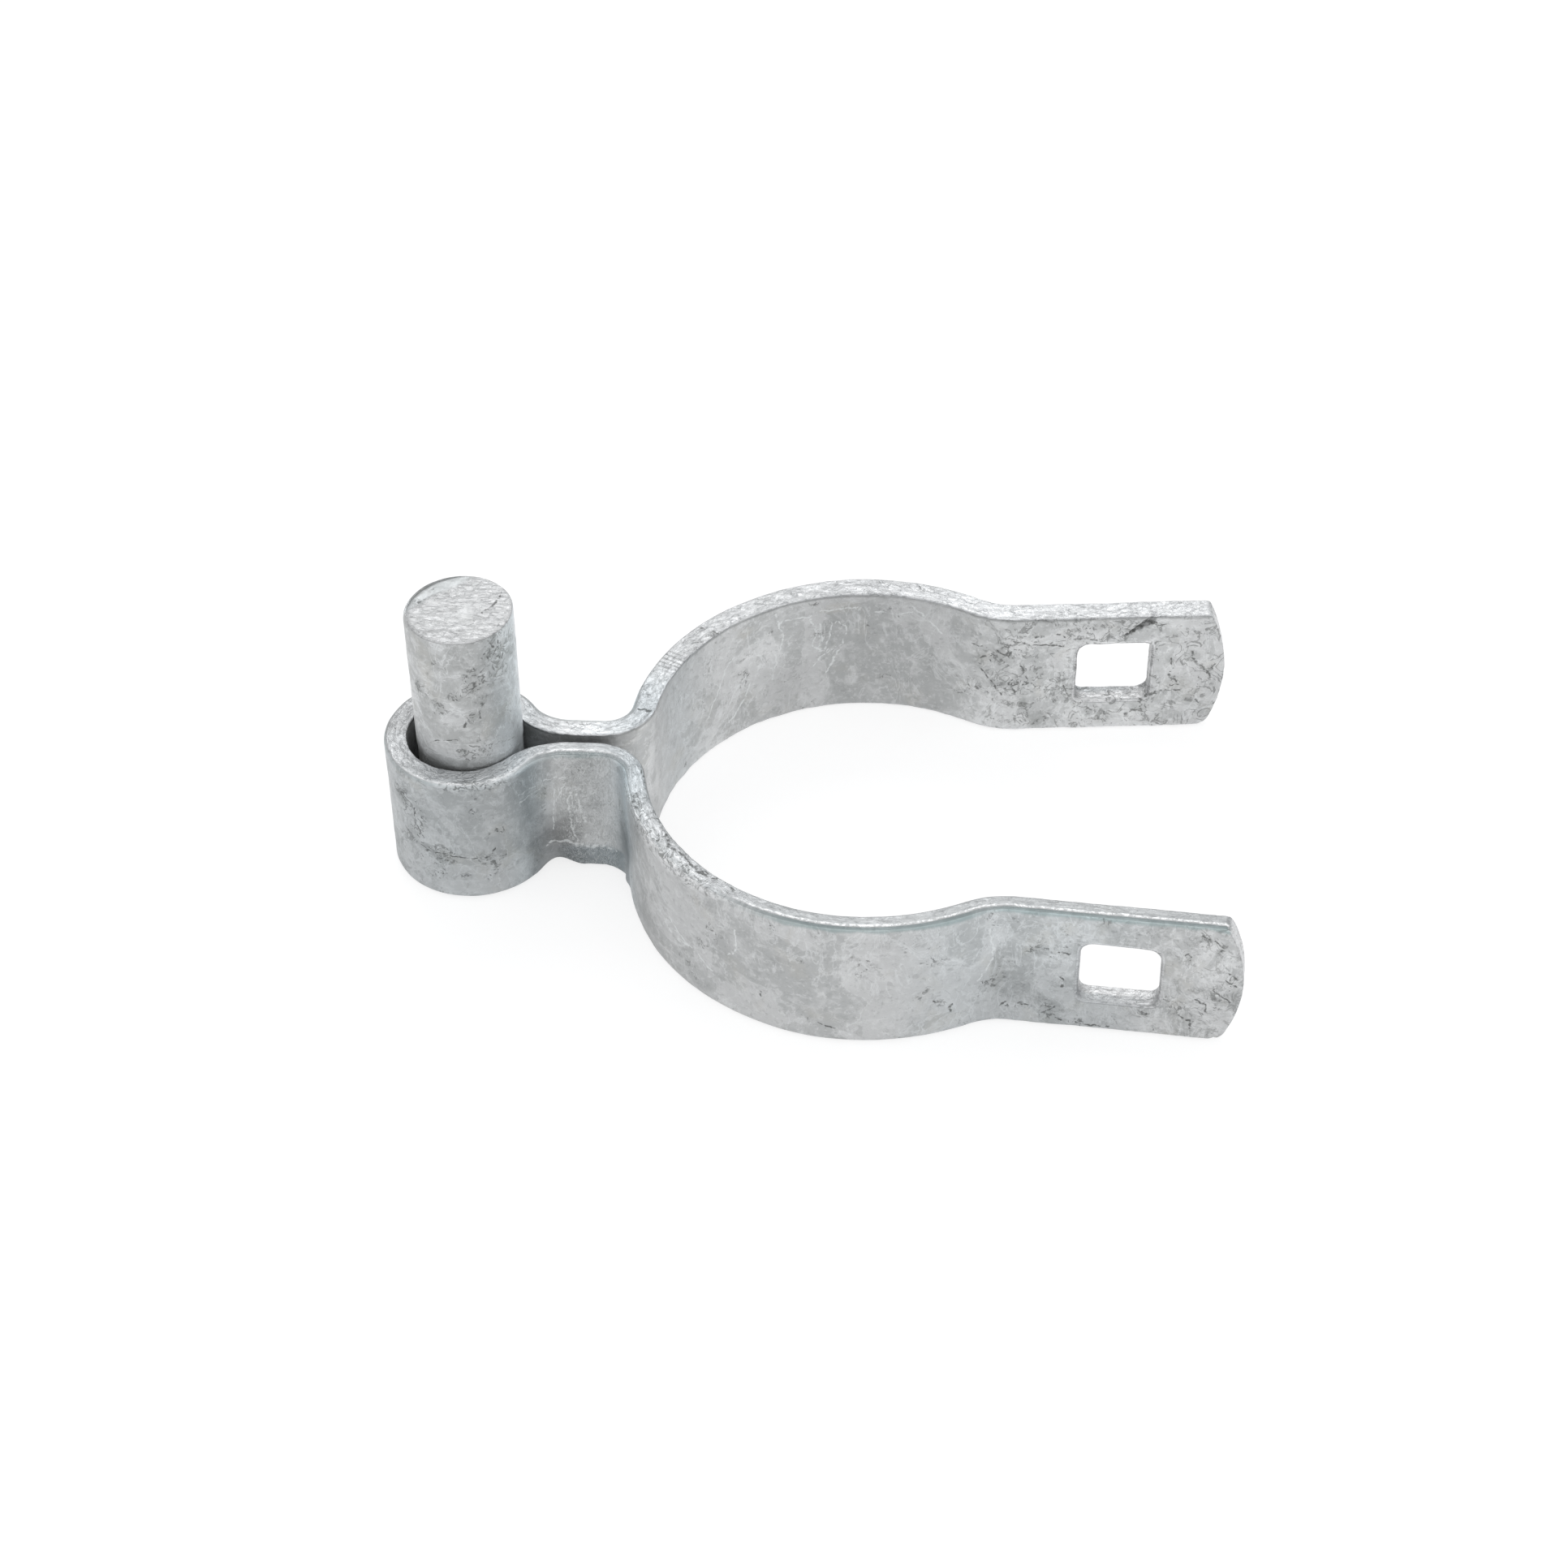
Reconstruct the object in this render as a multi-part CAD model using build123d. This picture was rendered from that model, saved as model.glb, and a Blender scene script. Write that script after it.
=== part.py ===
from build123d import *
import os
from math import asin, cos, degrees, radians, sin, sqrt

# A post hinge for a chain link fence gate: one steel strap, folded on edge round an upright pin.
# The origin is the post's axis at the height of the strap's lower edge. X points to the arms'
# ends, Y across the arms and Z up along the pin. All sizes are millimetres.

# The strip that the strap is folded from
strap_width = 23.2
strap_thickness = 3.4
edge_round = 0.8

# Saddle: each half is an arc about its own centre, and the halves are sprung apart
saddle_inner_radius = 32.4
saddle_half_spread = 2.4

# Neck: two straight legs side by side, with a bend at each end, taken at the strip's middle
neck_gap = 1.4
neck_flat_length = 4.6
saddle_bend_radius = 6.0
eye_bend_radius = 9.0

# Pin: a round bar with a slightly smaller seat inside the eye
pin_diameter = 15.9
pin_length = 47.5
pin_rim_round = 0.7
pin_foot_chamfer = 0.5
seat_relief = 0.2
journal_lift = 0.3

# Eye: two quarter turns with a short straight stretch between them
eye_play = 0.35
eye_stretch = 0.7
pin_seat_gap = 0.25

# Arms: measured from the saddle half's centre, along the arm and square to it
arm_flare_deg = 4.75
arm_middle_offset = 27.1
arm_bend_radius = 12.0
arm_reach = 57.1
arm_end_radius = 27.0
arm_corner_round = 1.0

# Square hole for a carriage bolt, one in each arm
bolt_hole_size = 11.5
bolt_hole_corner = 1.6
bolt_hole_reach = 40.3

half_thickness = strap_thickness / 2
pin_radius = pin_diameter / 2
seat_radius = pin_radius - seat_relief

# The strip's middle line: radii and centres of its turns, for the half on the +Y side
neck_middle_y = (neck_gap + strap_thickness) / 2
saddle_radius = saddle_inner_radius + half_thickness
eye_radius = pin_radius + eye_play + half_thickness

saddle_bend_y = neck_middle_y + saddle_bend_radius
saddle_bend_x = -sqrt((saddle_radius + saddle_bend_radius) ** 2 - (saddle_bend_y - saddle_half_spread) ** 2)
saddle_start_deg = degrees(asin((saddle_bend_y - saddle_half_spread) / (saddle_radius + saddle_bend_radius)))

eye_bend_x = saddle_bend_x - neck_flat_length
eye_bend_y = neck_middle_y + eye_bend_radius
eye_front_x = eye_bend_x - sqrt((eye_radius + eye_bend_radius) ** 2 - eye_bend_y**2)
eye_back_x = eye_front_x - eye_stretch
eye_end_deg = degrees(asin(eye_bend_y / (eye_radius + eye_bend_radius)))

# The pin rests between the eye's two bends, a named gap away from each
bend_reach = eye_bend_radius + half_thickness + seat_radius + pin_seat_gap
pin_x = eye_bend_x - sqrt(bend_reach**2 - eye_bend_y**2)

# Directions along and square to the +Y arm, and the turn that leads into it
along = Vector(cos(radians(arm_flare_deg)), sin(radians(arm_flare_deg)))
square = Vector(-sin(radians(arm_flare_deg)), cos(radians(arm_flare_deg)))
saddle_centre = Vector(0, saddle_half_spread)
arm_turn_rise = arm_middle_offset + arm_bend_radius
arm_turn_run = sqrt((saddle_radius + arm_bend_radius) ** 2 - arm_turn_rise**2)
arm_bend_centre = saddle_centre + square * arm_turn_rise + along * arm_turn_run
arm_turn_deg = degrees(asin(arm_turn_rise / (saddle_radius + arm_bend_radius)))
saddle_end_deg = arm_turn_deg + arm_flare_deg


def wall_line(offset):
    """The +Y half of the strap's wall, from the eye's back to the arm's end, offset outwards."""
    eye_back = CenterArc((eye_back_x, 0), eye_radius + offset, 180, -90)
    eye_side = Line((eye_back_x, eye_radius + offset), (eye_front_x, eye_radius + offset))
    eye_front = CenterArc((eye_front_x, 0), eye_radius + offset, 90, eye_end_deg - 90)
    eye_bend = CenterArc((eye_bend_x, eye_bend_y), eye_bend_radius - offset, 180 + eye_end_deg, 90 - eye_end_deg)
    neck = Line((eye_bend_x, neck_middle_y + offset), (saddle_bend_x, neck_middle_y + offset))
    saddle_bend = CenterArc(
        (saddle_bend_x, saddle_bend_y), saddle_bend_radius - offset, 270, 90 - saddle_start_deg
    )
    saddle = CenterArc(
        saddle_centre, saddle_radius + offset, 180 - saddle_start_deg, saddle_end_deg + saddle_start_deg - 180
    )
    arm_bend = CenterArc(
        arm_bend_centre, arm_bend_radius - offset, 180 + saddle_end_deg, 90 - arm_turn_deg
    )
    arm_line = saddle_centre + square * (arm_middle_offset + offset)
    arm = Line(arm_line + along * arm_turn_run, arm_line + along * arm_reach)
    return [eye_back, eye_side, eye_front, eye_bend, neck, saddle_bend, saddle, arm_bend, arm]


def both_halves(lines):
    return lines + [line.mirror(Plane.XZ) for line in lines]


def folded_strip():
    """The strip folded to its outline, its arms still square at their ends."""
    outer = wall_line(half_thickness)
    inner = wall_line(-half_thickness)
    end = Line(outer[-1] @ 1, inner[-1] @ 1)
    outline = make_face(both_halves(outer + inner + [end]))
    return extrude(outline, strap_width, dir=(0, 0, 1))


def arm_plane(distance, side):
    """A plane on the middle of an arm's wall, X along the arm, Y up and Z square to the arm."""
    spot = saddle_centre + square * arm_middle_offset + along * distance
    origin = Vector(spot.X, side * spot.Y, strap_width / 2)
    x_dir = Vector(along.X, side * along.Y, 0)
    z_dir = Vector(-side * square.X, -square.Y, 0)
    return Plane(origin, x_dir=x_dir, z_dir=z_dir)


def arm_end_cutter(side):
    """What is sheared off beyond an arm's crowned end."""
    span = arm_end_radius
    waste = Pos(arm_reach - span / 2 + 1, 0) * Rectangle(span, strap_width + 2)
    waste -= Pos(arm_reach - arm_end_radius, 0) * Circle(arm_end_radius)
    return extrude(arm_plane(0, side) * waste, strap_thickness, both=True)


def bolt_hole_cutter(side):
    """The square punch of an arm's bolt hole, with its rounded corners."""
    punch = RectangleRounded(bolt_hole_size, bolt_hole_size, bolt_hole_corner)
    return extrude(arm_plane(bolt_hole_reach, side) * punch, strap_thickness, both=True)


def lies_on(edge, lines):
    """Whether an edge runs along a wall face whose plan is these lines."""
    spots = [edge @ 0, edge @ 0.5, edge @ 1]
    return all(any(line.distance_to(Vertex(spot.X, spot.Y, 0)) < 0.001 for line in lines) for spot in spots)


def runs_up(edge):
    return edge.geom_type == GeomType.LINE and abs((edge % 0.5).Z) > 0.999


def outer_rim_edges(strap):
    """The edges all round the strap's outer wall face, without the seams between its turns."""
    lines = both_halves(wall_line(half_thickness))
    return [edge for edge in strap.edges() if not runs_up(edge) and lies_on(edge, lines)]


def round_arm_corners(strap):
    """Round the corners where the crowned ends meet the long edges."""
    corners = [
        edge
        for edge in strap.edges().filter_by(GeomType.LINE)
        if abs(edge.length - strap_thickness) < 0.01 and (edge @ 0.5).X > saddle_inner_radius
    ]
    return fillet(corners, arm_corner_round)


def make_strap():
    strap = folded_strip()
    for side in (1, -1):
        strap -= arm_end_cutter(side)
    strap = round_arm_corners(strap)
    strap = fillet(outer_rim_edges(strap), edge_round)
    for side in (1, -1):
        strap -= bolt_hole_cutter(side)
    return strap


def make_pin():
    """The round bar: a seat inside the eye, then the journal with its rounded rim."""
    seat_height = strap_width + journal_lift
    seat = extrude(Circle(seat_radius), seat_height)
    seat = chamfer(seat.faces().sort_by(Axis.Z)[0].edges(), pin_foot_chamfer)
    journal = Pos(0, 0, seat_height) * extrude(Circle(pin_radius), pin_length - seat_height)
    journal = fillet(journal.faces().sort_by(Axis.Z)[-1].edges(), pin_rim_round)
    return Pos(pin_x, 0, 0) * (seat + journal)


os.makedirs("parts", exist_ok=True)
export_step(make_strap(), "parts/hinge_strap.step")
export_step(make_pin(), "parts/hinge_pin.step")
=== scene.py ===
from math import asin, ceil, cos, pi, radians, sin, sqrt

import bpy
import numpy as np
from mathutils import Matrix, Vector, noise


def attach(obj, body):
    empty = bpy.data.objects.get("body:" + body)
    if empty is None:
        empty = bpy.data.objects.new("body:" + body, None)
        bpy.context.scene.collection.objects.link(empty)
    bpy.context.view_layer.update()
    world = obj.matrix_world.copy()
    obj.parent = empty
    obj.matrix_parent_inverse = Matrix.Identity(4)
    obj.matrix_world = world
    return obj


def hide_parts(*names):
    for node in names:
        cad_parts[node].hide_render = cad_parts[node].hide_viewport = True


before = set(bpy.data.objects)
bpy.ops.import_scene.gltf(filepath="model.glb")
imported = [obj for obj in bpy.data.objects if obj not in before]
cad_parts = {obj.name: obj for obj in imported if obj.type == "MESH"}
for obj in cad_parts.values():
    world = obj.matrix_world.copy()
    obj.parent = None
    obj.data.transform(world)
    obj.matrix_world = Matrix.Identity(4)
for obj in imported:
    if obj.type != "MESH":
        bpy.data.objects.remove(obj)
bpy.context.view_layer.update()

# The dressed post hinge: a strap and a pin of hot dipped steel, as fine closed meshes with
# zinc materials. Sizes are millimetres in the model's own frame until a mesh is made.
METRES = 0.001

# The strip and its fold, the same values as the solid model's
STRAP_WIDTH = 23.2
STRAP_THICKNESS = 3.4
SADDLE_INNER_RADIUS = 32.4
SADDLE_HALF_SPREAD = 2.4
NECK_GAP = 1.4
NECK_FLAT_LENGTH = 4.6
SADDLE_BEND_RADIUS = 6.0
EYE_BEND_RADIUS = 9.0
PIN_RADIUS = 7.95
PIN_LENGTH = 47.5
EYE_PLAY = 0.35
EYE_STRETCH = 0.7
SEAT_RADIUS = 7.75
PIN_SEAT_GAP = 0.25
ARM_FLARE = radians(4.75)
ARM_MIDDLE_OFFSET = 27.1
ARM_BEND_RADIUS = 12.0
ARM_REACH = 57.1
HOLE_HALF = 5.75
HOLE_REACH = 40.3

# How far the pin's zinc stands past the solid, and the edges of the folded strip
PIN_ZINC = 0.08
OUTER_ROLL = 0.85
INNER_ROLL = 0.22
END_ROLL = 0.3
HOLE_RIM_ROLL = 0.4

# Fineness of the meshes: the step along and up a wall and through it, and near an edge
LENGTH_STEP, LENGTH_EDGE_STEP = 0.46, 0.17
HEIGHT_STEP, HEIGHT_EDGE_STEP = 0.78, 0.16
THROUGH_STEP, THROUGH_EDGE_STEP = 0.36, 0.1
PIN_STEP, PIN_EDGE_STEP = 0.42, 0.12
PIN_AROUND, HEAD_RINGS, FOOT_RINGS = 176, 27, 12
TINY = 1e-6

# The floor, in metres: its side and how far it lies below the object
FLOOR_SIZE = 12.0
FLOOR_DROP = 0.0004

# Greys of the marks in the zinc and of its sheared, foil-like edges, with the painted shade under the
# edges and the painted highlight along the rolled edge
VEIN_GREY = (0.78, 0.80, 0.81)
SCRATCH_GREY = (0.68, 0.70, 0.70)
SCRAPED_GREY = (0.34, 0.35, 0.34)
# Painted shade: the dark blue band on the outer roll, standing in for the darker surroundings it
# reflects
PAINTED_EDGE_SHADE_BLUE = (0.26, 0.345, 0.35)
FOIL_DARK, FOIL_LIGHT = (0.44, 0.45, 0.46), (0.74, 0.75, 0.76)
FLECK_GREY = (0.34, 0.345, 0.35)
SMUDGE_GREY = (0.30, 0.31, 0.305)
# Also the grey of the painted shade line under the far half's inner burr
PIT_AND_BURR_SHADE_GREY = (0.16, 0.165, 0.16)
TOOTH_GREY = (0.30, 0.31, 0.31)
# Painted highlight along the rolled outer edge
PAINTED_HIGHLIGHT_GREY = (0.88, 0.89, 0.895)

# Dark clusters in the zinc on the walls that the light falls on: along, height and radius, on
# the near half's outer face where along is minus and on the far half's inner face elsewhere
CLUSTERS = [
    (116.8, 15.5, 2.2), (119.5, 5.8, 1.3), (121.9, 2.6, 2), (144, 8.9, 2.4), (132.7, 2.3, 1.8),
    (142.1, 2.1, 1.5), (145.8, 14.8, 1.8), (142.5, 14.1, 1.2), (138.4, 4.4, 1.8), (131.3, 21.4, 1.6),
    (-9.3, 11.5, 2), (-7.5, 17, 2.2), (-13.4, 8.4, 2.3), (-21.3, 13.4, 1), (-16.4, 5, 0.8),
    (-107.4, 6.8, 1.1), (-146.5, 21, 1.3), (-149.4, 19.8, 1), (-147.2, 9.2, 0.8), (-146.5, 5.8, 0.7),
    (-137.9, 4.6, 0.9), (-126.7, 15.9, 0.8), (-124, 3.9, 0.8),
]
# The same on the pin: degrees round from the arms' side, height and radius
PIN_CLUSTERS = [
    (-70, 39.5, 1.9), (-135, 37.3, 1.5), (-91, 37.1, 1.1), (-110, 34.9, 1.3), (-44, 44.3, 1.6),
    (-15, 41.7, 1.2), (-72, 33.4, 1.2), (-64, 36.1, 1.2), (-89, 26.4, 1), (70, 38, 1.8), (150, 34, 2),
]

# Thin dark strokes round the pin's side: a half width and a run of degrees and heights
PIN_SIDE_STROKES = [
    (0.22, (-49, 46.3), (-42, 44.7), (-49, 42.8)), (0.22, (-33, 43.5), (-34, 42)),
    (0.22, (-48, 42), (-45, 40.7)), (0.2, (-40, 46.2), (-35, 44.8)),
    (0.2, (-44, 43.9), (-38, 42.6)), (0.2, (-56, 44.6), (-52, 43.3)),
    (0.26, (-64, 35.8), (-66, 34.2), (-68, 32.6)), (0.26, (-82, 32.3), (-86, 31)),
    (0.6, (-69, 39.7), (-71, 39.1)), (0.36, (-134, 37.6), (-137, 36.9)),
    (0.28, (-91, 37.3), (-92, 36.9)),
    (0.13, (-136, 26.4), (-112, 28.4), (-94, 29), (-78, 27.6), (-55, 27), (-20, 25.6)),
]
# The crack across the pin's head: runs of places from the pin's own axis
PIN_HEAD_STROKES = [
    (0.24, (5.9, 3.6), (5.6, 2.9)), (0.26, (5.3, 1.9), (4.7, 0.6)), (0.24, (4.4, -0.1), (3.7, -0.7)),
]

FAR, NEAR = 1, -1
HALF_THICK = STRAP_THICKNESS / 2
MID_HEIGHT = STRAP_WIDTH / 2
INNER, OUTER, TOP = -HALF_THICK, HALF_THICK, STRAP_WIDTH

# Lighter and darker patches of the zinc on the same walls: along, height, reach each way, amount
PATCHES = [
    (83, 5, 7, 5, 0.07), (75.5, 11.5, 5, 7, 0.09), (59, 13, 13, 14, 0.10), (81, 15, 3, 6.5, -0.09),
    (93, 14, 7, 8, -0.08), (99, 6, 11, 6, -0.07), (106, 18, 4, 5, 0.08), (112, 11, 4, 9, -0.05),
    (85.4, 17, 1.4, 7, 0.12), (-84, 14, 9, 5, -0.11), (-92, 9, 6, 6.5, -0.11),
    (-118, 10.5, 3.4, 5.5, -0.20), (-104, 13, 11, 9, 0.08), (-82, 5, 8, 4, 0.08),
    (-114.8, 15, 1.3, 8, 0.12), (-14, 8.6, 8, 1.8, -0.10), (-33, 7, 3.5, 2.6, -0.16),
    (-14, 15, 7, 5, 0.03), (-30.8, 12, 1.6, 7, 0.12), (-32.5, 12, 1, 6.5, -0.12),
]

# Thin dark strokes in the zinc, on the inner wall, the outer wall and the top: each a half
# width and a run of points along the strip and up or through it
INNER_STROKES = [
    (0.34, (135.2, 18.6), (137, 20.2), (139.2, 22.4)), (0.3, (137.8, 20.7), (139.8, 21.9)),
    (0.26, (136.6, 20.6), (138.6, 22.7)), (0.34, (146.4, 13.4), (147.9, 12.1), (149.2, 10.1)),
    (0.26, (148.5, 11.4), (149.7, 12.7)), (0.34, (145.7, 15.5), (146.2, 14.1)),
    (0.32, (136, 2.8), (137, 3.7), (138.8, 3.9), (138.8, 5.3)),
    (0.32, (138.8, 5.6), (140.3, 7.2), (142.4, 7.8), (144.2, 7.5)),
    (0.26, (118.2, 18.4), (120.5, 17.7), (123.1, 17.5), (126, 17.2)),
    (0.28, (124.7, 19.6), (126.3, 19.1)), (0.26, (127.7, 18.6), (129.8, 18.3), (131.9, 18)),
    (0.28, (118.2, 10.3), (119.6, 9.5), (120.8, 9.7)),
    (0.26, (117.4, 9.8), (118.4, 8.4), (118.8, 7.4)), (0.26, (119, 14), (119.6, 12.1), (120.8, 9.7)),
    (0.26, (113.6, 12.3), (115.3, 9.5), (116.6, 7.4)),
    (0.28, (115.8, 16.4), (117.3, 15.2), (117.8, 16.4)),
    (0.22, (113.2, 14), (114.3, 14.9), (115, 14.1)), (0.22, (112, 16.7), (113.6, 16.7)),
    (0.24, (126.5, 9.1), (127.6, 7.6)), (0.26, (142.5, 10.7), (144, 9.4)),
    (0.24, (140.4, 15.9), (140, 14.7)), (0.26, (142.6, 14.2), (142.9, 13.2)),
    (0.24, (147.5, 5.5), (148.2, 4.8)), (0.24, (121.5, 19), (121.8, 19.5)),
    (0.22, (119.7, 20.7), (120, 20.2)), (0.24, (139.1, 21.2), (141.5, 21.4)),
]
OUTER_STROKES = [
    (0.3, (-125.6, 15.4), (-127.2, 15)), (0.28, (-125.8, 10.3), (-126.8, 9.3), (-126.2, 8.3)),
    (0.28, (-123.2, 2.6), (-124.5, 3.5), (-125.1, 4.1)), (0.24, (-120.4, 3.9), (-121.2, 4)),
    (0.28, (-117.1, 3.3), (-118, 4.1), (-118.3, 3.4)), (0.26, (-125.2, 2), (-126.2, 1.4)),
    (0.24, (-128.4, 1.2), (-130.4, 1), (-133, 1.2)),
    (0.34, (-145.8, 21.5), (-146.6, 21.2), (-147.1, 20.6)),
    (0.3, (-148.2, 20.5), (-148.8, 19.2), (-148.1, 18.2)),
    (0.22, (-143, 16.9), (-143.5, 17.5), (-144, 16.9), (-143.5, 16.3), (-143, 16.9)),
    (0.28, (-149.4, 14.3), (-150.2, 13.2)), (0.28, (-148.9, 12.8), (-150, 12)),
    (0.34, (-147.8, 9.9), (-148.8, 9.5), (-149.5, 8.7)), (0.28, (-148, 11.3), (-147.1, 10.7)),
    (0.3, (-146.4, 7.3), (-146.7, 5.9)), (0.3, (-145.1, 8.5), (-145.8, 7.7)),
    (0.32, (-143.1, 4.7), (-144.1, 4.2), (-145.1, 3.8), (-144.9, 2.4)),
    (0.46, (-137.8, 4.7), (-138.2, 4.5)), (0.24, (-82.1, 6.9), (-82.1, 6.2)),
    (0.26, (-106.4, 8), (-106.5, 7.1)), (0.26, (-108.8, 5.6), (-108.9, 4.4)),
    (0.22, (-90.5, 3.4), (-92.9, 2.6)), (0.28, (-21.1, 13.5), (-21.2, 12.8)),
    (0.16, (-9.8, 16.6), (-9.6, 13.7), (-11, 11.2)),
    (0.17, (-10.3, 9.4), (-12, 8.9), (-14, 9), (-17, 8.4), (-19.6, 8.2), (-20.5, 10)),
]
TOP_STROKES = [
    (0.26, (-46.8, -1.3), (-48, -1.4)), (0.26, (-49, -1.4), (-50, -1.4)),
    (0.26, (-54, 1.2), (-54.6, 1)),
    (0.34, (-61.2, -1.1), (-62.6, -0.6), (-64.1, 0.2), (-65.3, -0.5), (-67.1, -0.75)),
    (0.34, (-67.3, -0.6), (-70.1, -0.2)),
    (0.32, (-70, -0.3), (-71.4, -0.9), (-73.4, -0.8), (-71.8, -0.4), (-70.3, 0.1)),
    (0.24, (-76.2, -0.8), (-77.4, 0)), (0.3, (45.8, 0.45), (46.2, -1.1)),
]
# Thin light strokes: the veins of the zinc and the die's scuffs on the neck
INNER_VEINS = [
    (0.22, (95.5, 19.4), (98.8, 19.1), (103.4, 20.2)), (0.24, (80.2, 19.7), (82.1, 19.4), (85, 19.5)),
    (0.19, (86.5, 20.1), (89.7, 20), (92.6, 20.3)), (0.22, (78.7, 21.9), (80.2, 16.3), (79.7, 14.1)),
    (0.24, (85, 18.4), (85.9, 15.9), (85.2, 13.2), (86.9, 11.7)),
    (0.22, (86.4, 17.5), (86.9, 14)), (0.24, (88.5, 17.2), (87.8, 13.8), (87.1, 11.6)),
    (0.24, (89.7, 17.6), (91, 16.1), (90.6, 14.1), (89.7, 11.9), (87.5, 7.2)),
    (0.24, (78.6, 13.3), (78.9, 11.5), (78.1, 8.3)), (0.24, (73.1, 10.8), (71, 9.6), (69.6, 7.3)),
    (0.26, (101.5, 21.3), (103.6, 19.5), (107.1, 16.7)),
    (0.22, (66.2, 9.7), (67.8, 12.2), (69.1, 14.9), (70.7, 16.3)),
    (0.22, (69.1, 3.2), (71.2, 4.7), (73.2, 7.5), (74.1, 9.4)),
    (0.2, (57.5, 14), (58, 15.9), (57.2, 17.6)), (0.22, (64.8, 7.1), (65.8, 9.3)),
    (0.22, (84.5, 8.1), (86.6, 10.6), (88.3, 12)),
]
OUTER_VEINS = [
    (0.24, (-63, 10.4), (-66.5, 8), (-70.3, 8.7)), (0.22, (-65.3, 11.2), (-70.3, 8.1)),
    (0.22, (-71.4, 8.3), (-74, 6.6)), (0.24, (-78.2, 17.7), (-78.4, 13.6), (-76.7, 11.7)),
    (0.3, (-114.6, 19.3), (-115.5, 14.6), (-115.4, 13.3), (-113.8, 10.3), (-113.1, 9.1)),
    (0.28, (-34.3, 16.1), (-33.8, 13.8), (-33.8, 10.9), (-34.5, 6.9), (-34.8, 4.5)),
    (0.24, (-33, 17.2), (-32.5, 14.4)), (0.26, (-35, 16.1), (-35.4, 12.7), (-36.3, 9.3)),
    (0.2, (-31.6, 16.3), (-31, 12), (-30.8, 8.3)),
    (0.34, (-29.2, 5.4), (-33.6, 4.9), (-37.9, 4.3), (-41.8, 4.1)),
    (0.24, (-29.7, 18.5), (-33.2, 18.4)), (0.4, (-33.4, 18.6), (-33.7, 18.5)),
    (0.2, (-24.4, 18.5), (-27.9, 18)), (0.2, (-24.3, 16.9), (-28.7, 17.1)),
]

# What differs between the two arms: how far the hole sits from its place in the solid, the
# rounding of its corners (towards the saddle low and high, towards the end low and high), how
# far the end sits from its place and leans back at the top, the radius that it is crowned to,
# and the rounding of its lower and upper corner
ARMS = {
    FAR: {
        "hole_shift": (-0.65, -0.05), "hole_corners": (1.5, 2.0, 1.9, 1.1),
        "end_shift": -0.08, "end_lean": 0.36, "crown": 29.5, "end_corners": (1.5, 0.5),
    },
    NEAR: {
        "hole_shift": (-0.38, 0.2), "hole_corners": (1.5, 1.9, 1.7, 2.3),
        "end_shift": 0.43, "end_lean": 0.0, "crown": 24.5, "end_corners": (1.8, 0.6),
    },
}


def fold_turns():
    """The middle line of one half of the strap from the eye's back: lengths and turns to the left,
    with the place where it starts."""
    eye_radius = PIN_RADIUS + EYE_PLAY + HALF_THICK
    neck_y = NECK_GAP / 2 + HALF_THICK
    saddle_radius = SADDLE_INNER_RADIUS + HALF_THICK
    saddle_bend_y = neck_y + SADDLE_BEND_RADIUS
    reach = saddle_radius + SADDLE_BEND_RADIUS
    saddle_bend_x = -sqrt(reach**2 - (saddle_bend_y - SADDLE_HALF_SPREAD) ** 2)
    saddle_start = asin((saddle_bend_y - SADDLE_HALF_SPREAD) / reach)
    eye_bend_x = saddle_bend_x - NECK_FLAT_LENGTH
    eye_bend_y = neck_y + EYE_BEND_RADIUS
    eye_end = asin(eye_bend_y / (eye_radius + EYE_BEND_RADIUS))
    eye_front_x = eye_bend_x - sqrt((eye_radius + EYE_BEND_RADIUS) ** 2 - eye_bend_y**2)
    rise = ARM_MIDDLE_OFFSET + ARM_BEND_RADIUS
    run = sqrt((saddle_radius + ARM_BEND_RADIUS) ** 2 - rise**2)
    arm_turn = asin(rise / (saddle_radius + ARM_BEND_RADIUS))
    saddle_end = arm_turn + ARM_FLARE
    quarter = pi / 2
    turns = [
        (eye_radius * quarter, -quarter),
        (EYE_STRETCH, 0.0),
        (eye_radius * (quarter - eye_end), eye_end - quarter),
        (EYE_BEND_RADIUS * (quarter - eye_end), quarter - eye_end),
        (NECK_FLAT_LENGTH, 0.0),
        (SADDLE_BEND_RADIUS * (quarter - saddle_start), quarter - saddle_start),
        (saddle_radius * (pi - saddle_start - saddle_end), saddle_start + saddle_end - pi),
        (ARM_BEND_RADIUS * (quarter - arm_turn), quarter - arm_turn),
        (ARM_REACH - run, 0.0),
    ]
    back = eye_front_x - EYE_STRETCH - eye_radius
    bend_reach = EYE_BEND_RADIUS + HALF_THICK + SEAT_RADIUS + PIN_SEAT_GAP
    pin_x = eye_bend_x - sqrt(bend_reach**2 - eye_bend_y**2)
    return turns, back, pin_x


TURNS, EYE_BACK_X, PIN_X = fold_turns()
STARTS = np.cumsum([0.0] + [length for length, _ in TURNS])
HALF_LENGTH = STARTS[-1]
EYE_BEND_AT, NECK_AT = STARTS[3:5]
ARM_BEND_AT, ARM_AT = STARTS[7:9]
HOLE_AT = HALF_LENGTH - ARM_REACH + HOLE_REACH


def stride(angle, length, turn, run):
    """How far a run along one stretch of the middle line leads, and the heading after it."""
    if not turn:
        return np.cos(angle) * run, np.sin(angle) * run, angle
    bend = turn / length
    ahead = angle + bend * run
    return (np.sin(ahead) - sin(angle)) / bend, (cos(angle) - np.cos(ahead)) / bend, ahead


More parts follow.
